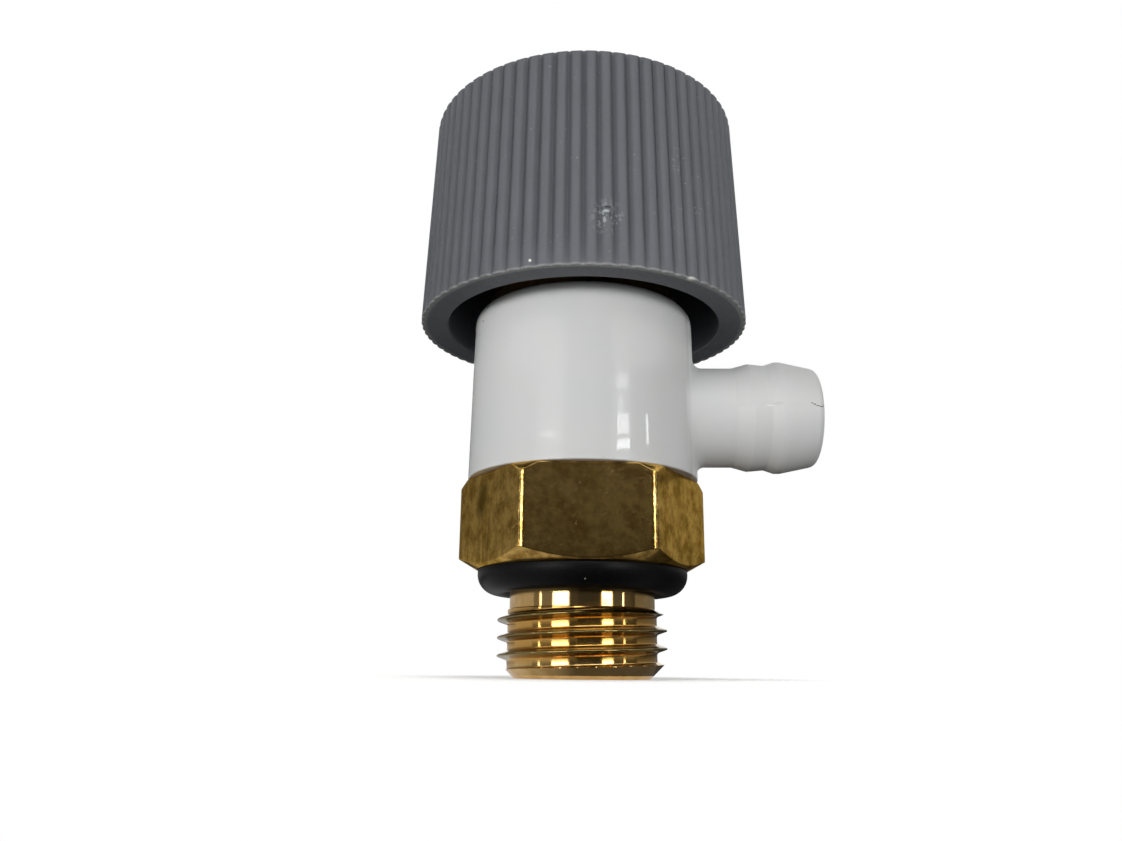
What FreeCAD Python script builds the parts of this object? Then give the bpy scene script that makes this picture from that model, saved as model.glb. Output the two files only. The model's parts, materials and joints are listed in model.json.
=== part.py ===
import FreeCAD, Part
import math
import os

# Drain cock of a heating circuit: a brass nipple with a pipe thread and a spanner hexagon, a white
# moulded body with a barbed hose tail, and a ribbed knob whose spindle lifts a rubber washer off its seat.
# Millimetres. +Z runs up the spindle, +X along the hose tail, and the origin is the centre of the thread's
# end face. The valve is drawn shut.

# Clearances
running_gap = 0.04          # radial, between pieces that turn or slide
assembly_gap = 0.03         # radial, between pieces that are screwed or pressed together
face_gap = 0.02             # axial, between faces that move against each other
ring_gap = 0.015            # all round a sealing ring in its groove

# Pipe thread, drawn at its major diameter, and the neck above it
thread_od = 13.157
thread_tip_d = 10.46
thread_length = 5.15
thread_end_bevel = 0.5      # height of the bevel where the thread meets the neck
neck_d = 11.3
neck_length = 2.95
inlet_bore_d = 6.0
port_ring_d = 16.38
port_ring_round = 1.55      # radius of the ring's outer and lower sides
port_ring_drop = 0.33       # the ring's widest height below the hexagon

# Spanner hexagon
hex_af = 17.0
hex_corner_d = 19.44
hex_height = 7.05
hex_turn_deg = 2.9          # from the hose tail to the nearest corner
hex_face_d = 16.5           # turned face that presses on the sealing ring
hex_face_slope_deg = 30.0
hex_top_d = 18.3
hex_top_bevel = 0.68

# Shank and seat inside the body
shank_length = 2.6
shank_ledge = 1.0           # the shank's step beyond the chamber wall
shank_ring_section = 0.8
shank_ring_height = 1.3     # ring centre above the hexagon
seat_lip = 0.5
seat_lip_width = 0.6
seat_pocket_d = 6.8
seat_pocket_depth = 2.25

# Moulded body
body_foot_d = 18.4
body_shoulder_d = 17.96
body_height = 14.05
body_edge_round = 1.0
chamber_gap = 0.9           # spindle collar to chamber wall

# Hose tail, measured from the valve's axis
tail_height = 5.5           # tail axis above the body's foot
tail_reach = 18.83
tail_base_d = 8.12
rear_barb_d = 8.82
rear_barb_length = 2.6
rear_barb_ramp = 1.25
valley_d = 8.56
front_barb_d = 9.12
front_barb_length = 4.13
front_barb_ramp = 0.85
front_barb_land = 0.45
tail_tip_d = 7.87
tail_nose_round = 0.6
barb_round = 0.25
tail_root_round = 0.5
outlet_bore_d = 5.2

# Valve disc that rides under the spindle
lift = 2.5                  # two turns of the spindle thread
washer_thickness = 1.95
washer_side_gap = 0.8       # washer edge to chamber wall
jumper_thickness = 1.4
jumper_side_gap = 0.6
jumper_stem_d = 3.9
jumper_stem_length = 4.4
jumper_ring_section = 0.6
jumper_ring_depth = 0.5     # how far the ring sits in the stem
jumper_ring_reach = 0.65    # how far it stands out into the spindle
jumper_ring_height = 3.4
jumper_ring_opening = 1.2
washer_screw_d = 2.5
washer_screw_head_d = 4.8
washer_screw_head = 1.3
washer_screw_length = 4.9
screw_slot = 0.6

# Bonnet
bonnet_ledge = 0.5          # the bonnet's step beyond the chamber wall
bonnet_thread_zone = 5.4
bonnet_gland_length = 6.6
bonnet_gland_wall = 1.9
bonnet_flange = 1.0
bonnet_flange_inset = 0.1
bonnet_hex_af = 13.0
bonnet_hex_height = 4.0
bonnet_ring_section = 1.1

# Spindle
spindle_thread_d = 8.0
collar_step = 0.6
collar_thickness = 1.58
stop_margin = 0.3
thread_run_out = 0.1
stem_d = 6.0
stem_ring_section = 0.82
stem_ring_spacing = 2.2
stem_ring_inset = 0.7       # upper ring centre below the bonnet's top when fully open
ring_groove_spare = 0.28    # groove width beyond the ring's section
drive_af = 4.6
drive_short = 0.2           # the spindle's end below the washer it is clamped by

# Knob
knob_rim_d = 26.98
knob_top_d = 25.64
knob_height = 18.05
knob_wall = 2.19
knob_roof = 2.0
knob_edge_round = 0.3
knob_corner_round = 1.0
crown_skin = 0.02           # the rounding tool stands this far outside the ribs
skirt_overlap = 1.05        # the rim below the body's top
rib_count = 72
groove_share = 0.36         # groove mouth, of the rib pitch
groove_floor_share = 0.2
groove_depth = 0.28
hub_d = 12.4
hub_gap = 0.6
web_count = 6
web_thickness = 1.2
web_setback = 1.5

# Screw, washer and cap in the knob's crown
recess_depth = 3.45
screw_recess_d = 7.8
cap_d = 9.2
cap_thickness = 1.2
cap_skirt_wall = 0.7
cap_skirt_depth = 0.5
cap_edge_round = 0.15
knob_screw_d = 3.0
knob_screw_length = 5.2
knob_screw_head_d = 5.4
knob_screw_head = 1.2
screw_washer_d = 7.2
screw_washer_thickness = 0.6
screw_hole_spare = 0.4      # hole depth beyond a screw's end
head_round = 0.4

# Heights that follow from the stack of pieces
hex_bottom_z = thread_length + neck_length
hex_top_z = hex_bottom_z + hex_height
shank_top_z = hex_top_z + shank_length
seat_z = shank_top_z + seat_lip
washer_top_z = seat_z + washer_thickness
jumper_top_z = washer_top_z + jumper_thickness
spindle_foot_z = jumper_top_z + face_gap
collar_top_z = spindle_foot_z + collar_thickness
bonnet_foot_z = collar_top_z + stop_margin + lift
bonnet_step_z = bonnet_foot_z + bonnet_thread_zone
bonnet_top_z = bonnet_step_z + bonnet_gland_length
body_top_z = hex_top_z + body_height
tail_z = hex_top_z + tail_height
knob_rim_z = body_top_z - skirt_overlap
knob_top_z = knob_rim_z + knob_height
roof_z = knob_top_z - knob_roof
hub_foot_z = bonnet_top_z + hub_gap
recess_floor_z = knob_top_z - recess_depth
cap_seat_z = knob_top_z - cap_thickness
spindle_top_z = recess_floor_z - drive_short
upper_ring_z = bonnet_top_z - lift - stem_ring_inset
lower_ring_z = upper_ring_z - stem_ring_spacing

# Radii that follow from the fits
neck_r = neck_d / 2
thread_r = spindle_thread_d / 2
stem_r = stem_d / 2
collar_r = thread_r + collar_step
chamber_r = collar_r + chamber_gap
shank_r = chamber_r + shank_ledge
bonnet_r = chamber_r + bonnet_ledge
jumper_r = chamber_r - jumper_side_gap
washer_r = chamber_r - washer_side_gap
jumper_stem_r = jumper_stem_d / 2
socket_r = jumper_stem_r + running_gap
washer_screw_r = washer_screw_d / 2
knob_screw_r = knob_screw_d / 2
rim_r = knob_rim_d / 2
crown_r = knob_top_d / 2
draft = (rim_r - crown_r) / knob_height

UP = FreeCAD.Vector(0, 0, 1)
ALONG_TAIL = FreeCAD.Vector(1, 0, 0)


def rounded_face(corners, to_space):
    """Face inside a closed outline of (u, v) or (u, v, radius) corners; a radius rounds its corner."""
    points = [FreeCAD.Vector(corner[0], corner[1], 0) for corner in corners]
    edges = []
    starts = []
    ends = []
    arcs = []
    for i, corner in enumerate(corners):
        point = points[i]
        radius = corner[2] if len(corner) > 2 else 0
        back = (points[i - 1] - point).normalize()
        ahead = (points[(i + 1) % len(points)] - point).normalize()
        half = back.getAngle(ahead) / 2
        run = radius / math.tan(half)
        start = point + back * run
        end = point + ahead * run
        bow = (back + ahead).normalize() * (radius / math.sin(half) - radius)
        starts.append(to_space(start))
        ends.append(to_space(end))
        arcs.append(Part.Arc(to_space(start), to_space(point + bow), to_space(end)) if radius else None)
    for i, arc in enumerate(arcs):
        if arc:
            edges.append(arc.toShape())
        edges.append(Part.LineSegment(ends[i], starts[(i + 1) % len(starts)]).toShape())
    return Part.Face(Part.Wire(edges))


def turned(*corners):
    """Solid of revolution about the valve's axis from (radius, height[, rounding]) corners."""
    face = rounded_face(corners, lambda p: FreeCAD.Vector(p.x, 0, p.y))
    return face.revolve(FreeCAD.Vector(0, 0, 0), UP, 360)


def turned_on_tail(*corners):
    """Solid of revolution about the hose tail's axis from (distance out, radius[, rounding]) corners."""
    face = rounded_face(corners, lambda p: FreeCAD.Vector(p.x, 0, tail_z + p.y))
    return face.revolve(FreeCAD.Vector(0, 0, tail_z), ALONG_TAIL, 360)


def rod(radius, low, high):
    return Part.makeCylinder(radius, high - low, FreeCAD.Vector(0, 0, low))


def polar(radius, angle, z):
    return FreeCAD.Vector(radius * math.cos(angle), radius * math.sin(angle), z)


def hexagon(across_flats, low, high, turn_deg=0.0):
    corner_r = across_flats / math.sqrt(3)
    corners = [polar(corner_r, math.radians(turn_deg + 60 * i), low) for i in range(6)]
    outline = Part.Face(Part.makePolygon(corners + corners[:1]))
    return outline.extrude(UP * (high - low))


def ring(inner_r, section, z):
    """Sealing ring of round section with its bore at inner_r."""
    return Part.makeTorus(inner_r + section / 2, section / 2, FreeCAD.Vector(0, 0, z))


def groove(root_r, outer_r, z, section):
    """Tool that cuts a square groove for a sealing ring."""
    half = (section + ring_groove_spare) / 2
    return rod(outer_r, z - half, z + half).cut(rod(root_r, z - half, z + half))


def slot(head_r, low, high):
    tool = Part.makeBox(head_r * 2, screw_slot, high - low)
    tool.translate(FreeCAD.Vector(-head_r, -screw_slot / 2, low))
    return tool


# Fixed pieces

def inlet_nipple():
    lead = (thread_od - thread_tip_d) / 2
    stem = turned(
        (0, 0),
        (thread_tip_d / 2, 0),
        (thread_od / 2, lead),
        (thread_od / 2, thread_length - thread_end_bevel),
        (neck_r, thread_length),
        (neck_r, hex_bottom_z),
        (0, hex_bottom_z),
    )
    corner_r = hex_corner_d / 2
    slope = math.tan(math.radians(hex_face_slope_deg))
    envelope = turned(
        (0, hex_bottom_z),
        (hex_face_d / 2, hex_bottom_z),
        (corner_r, hex_bottom_z + (corner_r - hex_face_d / 2) * slope),
        (corner_r, hex_top_z - hex_top_bevel),
        (hex_top_d / 2, hex_top_z),
        (0, hex_top_z),
    )
    nut = hexagon(hex_af, hex_bottom_z, hex_top_z, hex_turn_deg).common(envelope)
    pocket_r = seat_pocket_d / 2
    shank = rod(shank_r, hex_top_z, shank_top_z).fuse(rod(pocket_r + seat_lip_width, shank_top_z, seat_z))
    root_r = shank_r - shank_ring_section - ring_gap
    shank = shank.cut(groove(root_r, shank_r, hex_top_z + shank_ring_height, shank_ring_section))
    piece = stem.fuse([nut, shank])
    piece = piece.cut(rod(inlet_bore_d / 2, 0, seat_z))
    return piece.cut(rod(pocket_r, seat_z - seat_pocket_depth, seat_z)).removeSplitter()


def port_o_ring():
    """Ring on the neck, with its upper side pressed flat against the hexagon."""
    widest_z = hex_bottom_z - port_ring_drop
    outer_r = port_ring_d / 2
    low = widest_z - port_ring_round
    high = widest_z + port_ring_round
    whole = Part.makeTorus(outer_r - port_ring_round, port_ring_round, FreeCAD.Vector(0, 0, widest_z))
    return whole.cut([rod(neck_r + ring_gap, low, high), rod(outer_r, hex_bottom_z - ring_gap, high)])


def shank_o_ring():
    return ring(shank_r - shank_ring_section, shank_ring_section, hex_top_z + shank_ring_height)


def hose_tail():
    """Outside of the barbed tail, from the valve's axis to the rounded nose."""
    base_r = tail_base_d / 2
    front_foot = tail_reach - front_barb_length
    rear_foot = front_foot - rear_barb_length
    front_crest = front_foot + front_barb_ramp
    return turned_on_tail(
        (0, 0),
        (0, base_r),
        (rear_foot, base_r, barb_round),
        (rear_foot + rear_barb_ramp, rear_barb_d / 2, barb_round),
        (front_foot, valley_d / 2, barb_round),
        (front_crest, front_barb_d / 2),
        (front_crest + front_barb_land, front_barb_d / 2),
        (tail_reach, tail_tip_d / 2, tail_nose_round),
        (tail_reach, 0),
    )


def tail_root_edges(shape):
    """Edges on the tail's plain cylinder that are no further out than the body's wall."""
    wall_r = max(body_foot_d, body_shoulder_d) / 2
    found = []
    for edge in shape.Edges:
        box = edge.BoundBox
        start = edge.valueAt(edge.FirstParameter)
        off_tail = abs(math.hypot(start.y, start.z - tail_z) - tail_base_d / 2)
        if off_tail < face_gap and box.XMin > 0 and box.XMax < wall_r:
            found.append(edge)
    return found


def valve_body():
    outside = turned(
        (0, hex_top_z),
        (body_foot_d / 2, hex_top_z),
        (body_shoulder_d / 2, body_top_z, body_edge_round),
        (0, body_top_z),
    ).fuse(hose_tail())
    piece = outside.makeFillet(tail_root_round, tail_root_edges(outside))
    bore_r = outlet_bore_d / 2
    piece = piece.cut(Part.makeCylinder(bore_r, tail_reach, FreeCAD.Vector(0, 0, tail_z), ALONG_TAIL))
    inside = [
        rod(shank_r + assembly_gap, hex_top_z, shank_top_z + assembly_gap),
        rod(chamber_r, shank_top_z, bonnet_foot_z),
        rod(bonnet_r + assembly_gap, bonnet_foot_z - assembly_gap, body_top_z),
        rod(bonnet_r + bonnet_ring_section + 2 * ring_gap + assembly_gap, bonnet_seat_z(), body_top_z),
    ]
    return piece.cut(inside)


def bonnet_seat_z():
    """Floor of the body's counterbore for the bonnet's ring."""
    return body_top_z - bonnet_ring_section - 2 * ring_gap


def bonnet():
    """Brass bush with the spindle's nut thread below and its gland above."""
    flange_r = body_shoulder_d / 2 - body_edge_round - bonnet_flange_inset
    flange_top = body_top_z + bonnet_flange
    hex_top = flange_top + bonnet_hex_height
    gland_r = stem_r + bonnet_gland_wall
    piece = rod(bonnet_r, bonnet_foot_z, body_top_z).fuse([
        rod(flange_r, body_top_z, flange_top),
        hexagon(bonnet_hex_af, flange_top, hex_top, hex_turn_deg),
        rod(gland_r, body_top_z, bonnet_top_z),
    ])
    piece = piece.cut(rod(thread_r + running_gap, bonnet_foot_z, bonnet_step_z))
    return piece.cut(rod(stem_r + running_gap, bonnet_step_z, bonnet_top_z)).removeSplitter()


def bonnet_o_ring():
    return ring(bonnet_r + ring_gap, bonnet_ring_section, body_top_z - bonnet_ring_section / 2 - ring_gap)


# Pieces that rise and fall without turning

def jumper():
    """Disc that backs the washer, with a stem that hangs in the spindle."""
    groove_z = jumper_top_z + jumper_ring_height
    piece = rod(jumper_r, washer_top_z, jumper_top_z)
    piece = piece.fuse(rod(jumper_stem_r, jumper_top_z, jumper_top_z + jumper_stem_length))
    half = jumper_ring_section / 2
    ring_root = jumper_stem_r - jumper_ring_depth
    ring_cut = rod(jumper_r, groove_z - half, groove_z + half).cut(rod(ring_root, groove_z - half, groove_z + half))
    screw_end = seat_z + washer_screw_length + screw_hole_spare
    return piece.cut([ring_cut, rod(washer_screw_r + assembly_gap, washer_top_z, screw_end)])


def jumper_ring():
    """Open spring ring that ties the stem to the spindle, so that the disc is lifted as well as pressed."""
    middle = jumper_top_z + jumper_ring_height
    half = jumper_ring_section / 2 - ring_gap
    inner_r = jumper_stem_r - jumper_ring_depth + ring_gap
    outer_r = jumper_stem_r + jumper_ring_reach
    piece = rod(outer_r, middle - half, middle + half).cut(rod(inner_r, middle - half, middle + half))
    gap = Part.makeBox(outer_r, jumper_ring_opening, 2 * half)
    gap.translate(FreeCAD.Vector(0, -jumper_ring_opening / 2, middle - half))
    return piece.cut(gap)


def seat_washer():
    return rod(washer_r, seat_z, washer_top_z).cut(rod(washer_screw_r + assembly_gap, seat_z, washer_top_z))


def washer_screw():
    head_r = washer_screw_head_d / 2
    foot = seat_z - washer_screw_head
    head = turned((0, foot), (head_r, foot, head_round), (head_r, seat_z), (0, seat_z))
    head = head.cut(slot(head_r, foot, foot + screw_slot))
    return head.fuse(rod(washer_screw_r, seat_z, seat_z + washer_screw_length))


# Pieces that turn with the knob

def drive_square(clearance, low, high):
    """Square end of the spindle with its corners left round, grown by a clearance."""
    width = drive_af + 2 * clearance
    square = Part.makeBox(width, width, high - low)
    square.translate(FreeCAD.Vector(-width / 2, -width / 2, low))
    return square.common(rod(stem_r + clearance, low, high))


def spindle():
    thread_top = bonnet_step_z - lift - thread_run_out
    piece = turned(
        (0, spindle_foot_z),
        (collar_r, spindle_foot_z),
        (collar_r, collar_top_z),
        (thread_r, collar_top_z),
        (thread_r, thread_top),
        (stem_r, thread_top),
        (stem_r, hub_foot_z),
        (0, hub_foot_z),
    ).fuse(drive_square(0, hub_foot_z, spindle_top_z))
    groove_z = jumper_top_z + jumper_ring_height
    half = jumper_ring_section / 2 + running_gap
    ring_r = jumper_stem_r + jumper_ring_reach + running_gap
    socket_top = jumper_top_z + jumper_stem_length + stop_margin
    screw_end = recess_floor_z + screw_washer_thickness - knob_screw_length - screw_hole_spare
    root_r = stem_r - stem_ring_section - ring_gap
    cuts = [
        rod(socket_r, spindle_foot_z, socket_top),
        rod(ring_r, groove_z - half, groove_z + half),
        rod(knob_screw_r + assembly_gap, screw_end, spindle_top_z),
        groove(root_r, stem_r, lower_ring_z, stem_ring_section),
        groove(root_r, stem_r, upper_ring_z, stem_ring_section),
    ]
    return piece.cut(cuts).removeSplitter()


def stem_o_ring(z):
    return ring(stem_r - stem_ring_section, stem_ring_section, z)


def ribbed_drum():
    """Tapered drum with straight grooves, closed from flat faces between its rim and its crown."""
    pitch = 2 * math.pi / rib_count
    first = -math.pi / 2

    def outline(radius, z):
        floor_r = radius * (1 - groove_depth / rim_r)
        points = []
        for i in range(rib_count):
            middle = first + i * pitch
            points.append(polar(radius, middle - groove_share * pitch / 2, z))
            points.append(polar(floor_r, middle - groove_floor_share * pitch / 2, z))
            points.append(polar(floor_r, middle + groove_floor_share * pitch / 2, z))
            points.append(polar(radius, middle + groove_share * pitch / 2, z))
        return points

    low = outline(rim_r, knob_rim_z)
    high = outline(crown_r, knob_top_z)
    faces = [Part.Face(Part.makePolygon(ends + ends[:1])) for ends in (low, high)]
    for i in range(len(low)):
        j = (i + 1) % len(low)
        faces.append(Part.Face(Part.makePolygon([low[i], low[j], high[j], high[i], low[i]])))
    shell = Part.makeShell(faces)
    shell.sewShape()
    return Part.makeSolid(shell)


def knob():
    drum = ribbed_drum()
    crown = turned(
        (0, knob_rim_z),
        (rim_r + crown_skin, knob_rim_z),
        (crown_r + crown_skin, knob_top_z, knob_edge_round),
        (0, knob_top_z),
    )
    inner_r = rim_r - knob_wall
    hollow = turned(
        (0, knob_rim_z),
        (inner_r, knob_rim_z),
        (inner_r - draft * (roof_z - knob_rim_z), roof_z, knob_corner_round),
        (0, roof_z),
    )
    hub = rod(hub_d / 2, hub_foot_z, roof_z)
    webs = []
    for i in range(web_count):
        web = Part.makeBox(rim_r, web_thickness, roof_z - hub_foot_z - web_setback)
        web.translate(FreeCAD.Vector(0, -web_thickness / 2, hub_foot_z + web_setback))
        web.rotate(FreeCAD.Vector(0, 0, 0), UP, 360 / web_count * i)
        webs.append(web)
    hollow = hollow.cut([hub] + webs)
    cuts = [
        hollow,
        drive_square(assembly_gap, hub_foot_z, recess_floor_z),
        rod(screw_recess_d / 2, recess_floor_z, knob_top_z),
        rod(cap_d / 2 + assembly_gap, cap_seat_z, knob_top_z),
    ]
    return drum.common(crown).cut(cuts)


def knob_screw_washer():
    top = recess_floor_z + screw_washer_thickness
    hole_r = knob_screw_r + assembly_gap
    return rod(screw_washer_d / 2, recess_floor_z, top).cut(rod(hole_r, recess_floor_z, top))


def knob_screw():
    head_r = knob_screw_head_d / 2
    seat = recess_floor_z + screw_washer_thickness
    top = seat + knob_screw_head
    head = turned((0, seat), (head_r, seat), (head_r, top, head_round), (0, top))
    head = head.cut(slot(head_r, top - screw_slot, top))
    return head.fuse(rod(knob_screw_r, seat - knob_screw_length, seat))


def knob_cap():
    """Flush plug with a short skirt that grips the screw recess."""
    skirt_r = screw_recess_d / 2 - assembly_gap
    plug = turned(
        (0, cap_seat_z),
        (skirt_r - cap_skirt_wall, cap_seat_z),
        (skirt_r - cap_skirt_wall, cap_seat_z - cap_skirt_depth),
        (skirt_r, cap_seat_z - cap_skirt_depth),
        (skirt_r, cap_seat_z),
        (cap_d / 2, cap_seat_z),
        (cap_d / 2, knob_top_z, cap_edge_round),
        (0, knob_top_z),
    )
    return plug


pieces = {
    "inlet_nipple": inlet_nipple(),
    "port_o_ring": port_o_ring(),
    "shank_o_ring": shank_o_ring(),
    "valve_body": valve_body(),
    "bonnet": bonnet(),
    "bonnet_o_ring": bonnet_o_ring(),
    "jumper": jumper(),
    "jumper_ring": jumper_ring(),
    "seat_washer": seat_washer(),
    "washer_screw": washer_screw(),
    "spindle": spindle(),
    "stem_o_ring_lower": stem_o_ring(lower_ring_z),
    "stem_o_ring_upper": stem_o_ring(upper_ring_z),
    "knob": knob(),
    "knob_screw_washer": knob_screw_washer(),
    "knob_screw": knob_screw(),
    "knob_cap": knob_cap(),
}

os.makedirs("parts", exist_ok=True)
for name, shape in pieces.items():
    solid = shape.Solids[0]
    solid.exportStep(os.path.join("parts", name + ".step"))
    print(name, "solids", len(shape.Solids), "valid", solid.isValid(), "volume", round(solid.Volume, 2))
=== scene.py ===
# %% [markdown]
# # A drain cock in Blender
#
# This is the small valve that empties a heating circuit: a brass nipple screws into the pipe, a white moulded
# body turns the water into a hose tail, and a ribbed grey knob lifts a washer off its seat. The solid model
# already has the right sizes and joints. Here the visible pieces get the details that the eye looks for: the
# helix of the thread, soft edges, worn corners, and a surface that tells one material from another.
#
# The solid model is loaded first, and its pieces and record are kept.

# %% Load the solid model
import json
import math

import bpy
import numpy as np
from mathutils import Matrix, Vector


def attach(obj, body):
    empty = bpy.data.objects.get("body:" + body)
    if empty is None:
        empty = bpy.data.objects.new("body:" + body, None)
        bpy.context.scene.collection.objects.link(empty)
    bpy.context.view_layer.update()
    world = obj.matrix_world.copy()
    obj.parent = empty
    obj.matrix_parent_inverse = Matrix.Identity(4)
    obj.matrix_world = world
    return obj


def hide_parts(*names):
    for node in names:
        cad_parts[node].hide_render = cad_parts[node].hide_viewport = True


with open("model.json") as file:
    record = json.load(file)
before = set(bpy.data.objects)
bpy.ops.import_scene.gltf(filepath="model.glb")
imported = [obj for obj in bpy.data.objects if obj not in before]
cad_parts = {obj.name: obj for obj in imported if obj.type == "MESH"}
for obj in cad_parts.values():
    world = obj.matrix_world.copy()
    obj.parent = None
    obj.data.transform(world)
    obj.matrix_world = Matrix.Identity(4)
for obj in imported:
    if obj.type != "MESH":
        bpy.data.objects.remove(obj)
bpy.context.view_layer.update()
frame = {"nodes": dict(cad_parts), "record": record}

# %% [markdown]
# ## The camera
#
# A photograph taken close to a small thing has strong perspective: the crown of this knob is further from the lens
# than its rim, so the knob seems to narrow upwards far more than it does. The camera therefore stands only 72 mm
# from the valve's axis, just above the table, and looks 15 degrees up. A Track To constraint could aim it. Its three
# axes are written out as a matrix instead, because that states the roll as plainly as the direction.

# %% Place the camera
pitch, yaw, roll = math.radians(15.049), math.radians(-1.417), math.radians(0.555)
camera_distance, camera_height = 0.072168, 0.001
forward = Vector((math.sin(yaw) * math.cos(pitch), math.cos(yaw) * math.cos(pitch), math.sin(pitch)))
level = Vector((math.cos(yaw), -math.sin(yaw), 0))
upright = level.cross(forward)
right = math.cos(roll) * level + math.sin(roll) * upright
up = math.cos(roll) * upright - math.sin(roll) * level

lens = bpy.data.cameras.new("camera")
lens.sensor_width = 36
lens.lens = 29.178
lens.clip_start = 0.001
camera = bpy.data.objects.new("camera", lens)
bpy.context.scene.collection.objects.link(camera)
axes = Matrix((right, up, -forward)).transposed().to_4x4()
camera.matrix_world = Matrix.Translation((0, -camera_distance, camera_height)) @ axes
bpy.context.scene.camera = camera
print("camera looks along", [round(c, 3) for c in forward])

# %% [markdown]
# ## Nodes and colours
#
# Every material below is a small graph of nodes. It could be drawn by hand in the shader editor. In a script, one
# function adds a node, sets it up, links it and gives back one of its outputs, so that a graph reads as a list of
# steps. Colours are written as the hex values that a picture editor shows, and shaders work in linear light, so
# another function converts them.

# %% Helpers for materials
def linear(colour):
    """Linear light, with full alpha, from the hex value of an sRGB colour."""
    channels = [int(colour[i:i + 2], 16) / 255 for i in (1, 3, 5)]
    return *(c / 12.92 if c <= 0.04045 else ((c + 0.055) / 1.055) ** 2.4 for c in channels), 1.0


def add_node(tree, kind, inputs, output=0, **settings):
    """Adds a shader node and gives back one of its outputs. Inputs are plain values or other nodes' outputs, in
    the order of the sockets or by name."""
    node = tree.nodes.new("ShaderNode" + kind)
    for name, value in settings.items():
        setattr(node, name, value)
    for name, value in inputs.items() if isinstance(inputs, dict) else enumerate(inputs):
        if isinstance(value, bpy.types.NodeSocket):
            tree.links.new(value, node.inputs[name])
        else:
            node.inputs[name].default_value = value
    return node.outputs[output] if node.outputs else node


def new_material(name):
    """An empty material and its node tree."""
    material = bpy.data.materials.new(name)
    material.use_nodes = True
    material.node_tree.nodes.clear()
    return material, material.node_tree


white = linear("#ffffff")
print("white in linear light", white)

# %% [markdown]
# ## The studio
#
# The valve stands on a pale floor in front of plain white. A picture of a studio could be wrapped round it, but a
# world and a floor of one colour are easier to steer. Light Path tells a surface who is asking: the camera and
# mirror-like reflections see white, while matte surfaces are lit at a level of their own, so that nothing burns out.
# The wide rim of the knob would shade the body below it, so that level is highest near the horizon and on the table
# in front, where light slips in under the rim.

# %% Build the world
scene = bpy.context.scene
scene.view_settings.view_transform = "Standard"


def seen_directly(tree):
    """1 for camera, mirror and transmission rays, 0 for light on matte surfaces."""
    asks = [add_node(tree, "LightPath", {}, "Is %s Ray" % kind) for kind in ("Camera", "Glossy", "Transmission")]
    either = add_node(tree, "Math", asks[:2], operation="MAXIMUM")
    return add_node(tree, "Math", [either, asks[2]], operation="MAXIMUM")


scene.world = bpy.data.worlds.new("white_studio")
scene.world.use_nodes = True
tree = scene.world.node_tree
tree.nodes.clear()
horizon_light, sky_light = 4.4, 0.2
height = add_node(tree, "SeparateXYZ", [add_node(tree, "TexCoord", {}, "Generated")], "Z")
band = add_node(tree, "MapRange", [height, 0.03, 0.16, horizon_light, sky_light], interpolation_type="SMOOTHSTEP")
level = add_node(tree, "MapRange", {"Value": seen_directly(tree), "To Min": band, "To Max": 1})
sky = add_node(tree, "Background", {"Color": white, "Strength": level})
add_node(tree, "OutputWorld", {"Surface": sky})
print("world", scene.world.name, "lights matte surfaces at", horizon_light, "low down and", sky_light, "above")

# %% [markdown]
# ### The floor
#
# A sweep of white paper has no edge between table and wall. It could be modelled as a bent sheet. A flat disc does as
# well, because it is a matte surface only close to the valve, where the shadow falls. Even there a third of it is
# plain white, which keeps the shadow soft, and further off it is all plain white, so that no horizon shows.

# %% Lay the floor
# White paper: matte, with hardly any sheen, so that it shows a shadow and no reflection.
paper, tree = new_material("white_paper_sweep")
shadow_r, plain_r, plain_share = 0.010, 0.024, 0.35
light_behind, light_front = 0.04, 0.42
here = add_node(tree, "TexCoord", {}, "Object")
away = add_node(tree, "VectorMath", [here], "Value", operation="LENGTH")
far = add_node(tree, "MapRange", [away, shadow_r, plain_r, plain_share, 1], interpolation_type="SMOOTHSTEP")
share = add_node(tree, "Math", [far, add_node(tree, "LightPath", {}, "Is Diffuse Ray")], operation="MAXIMUM")
depth = add_node(tree, "SeparateXYZ", [here], "Y")
front = add_node(tree, "MapRange", [depth, 0.0, -0.03, light_behind, light_front])
level = add_node(tree, "MapRange", {"Value": seen_directly(tree), "To Min": front, "To Max": 1})
glow = add_node(tree, "Emission", {"Color": white, "Strength": level})
matte = add_node(tree, "BsdfPrincipled", {"Base Color": linear("#f4f4f2"), "Roughness": 0.8,
                                          "Specular IOR Level": 0.2})
add_node(tree, "OutputMaterial", {"Surface": add_node(tree, "MixShader", [share, matte, glow])})

bpy.ops.mesh.primitive_circle_add(vertices=96, radius=4, fill_type="NGON", location=(0, 0, 0))
floor = bpy.context.object
floor.name = "floor"
floor.data.materials.append(paper)
print("floor, plain white from", plain_r * 1000, "mm round the axis")

# %% [markdown]
# ## Lamps
#
# Polished brass shows nothing but its surroundings, so the surroundings are designed. Low windows stand on the left
# and the right behind the camera, with a thin slit beyond each: they draw the upright bright lines on the neck and
# the thread. Fainter windows above them are light-linked to the brass alone and draw the edges of the hexagon. Higher
# panes give the glossy body its patches, and a broad lamp above them gives the knob its sheen.
#
# Soft lamps light the matte surfaces from the front and from behind, two more reach the dark knob alone, and one
# overhead, for the floor alone, throws the shadow. A few large lamps could do all this, but then each change to a
# highlight would change the shading too. So reflections don't see the soft lamps, matte surfaces don't see the
# windows, and the camera sees neither.

# %% A helper for lamps
aim = Vector((0, 0, 0.02))


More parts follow.
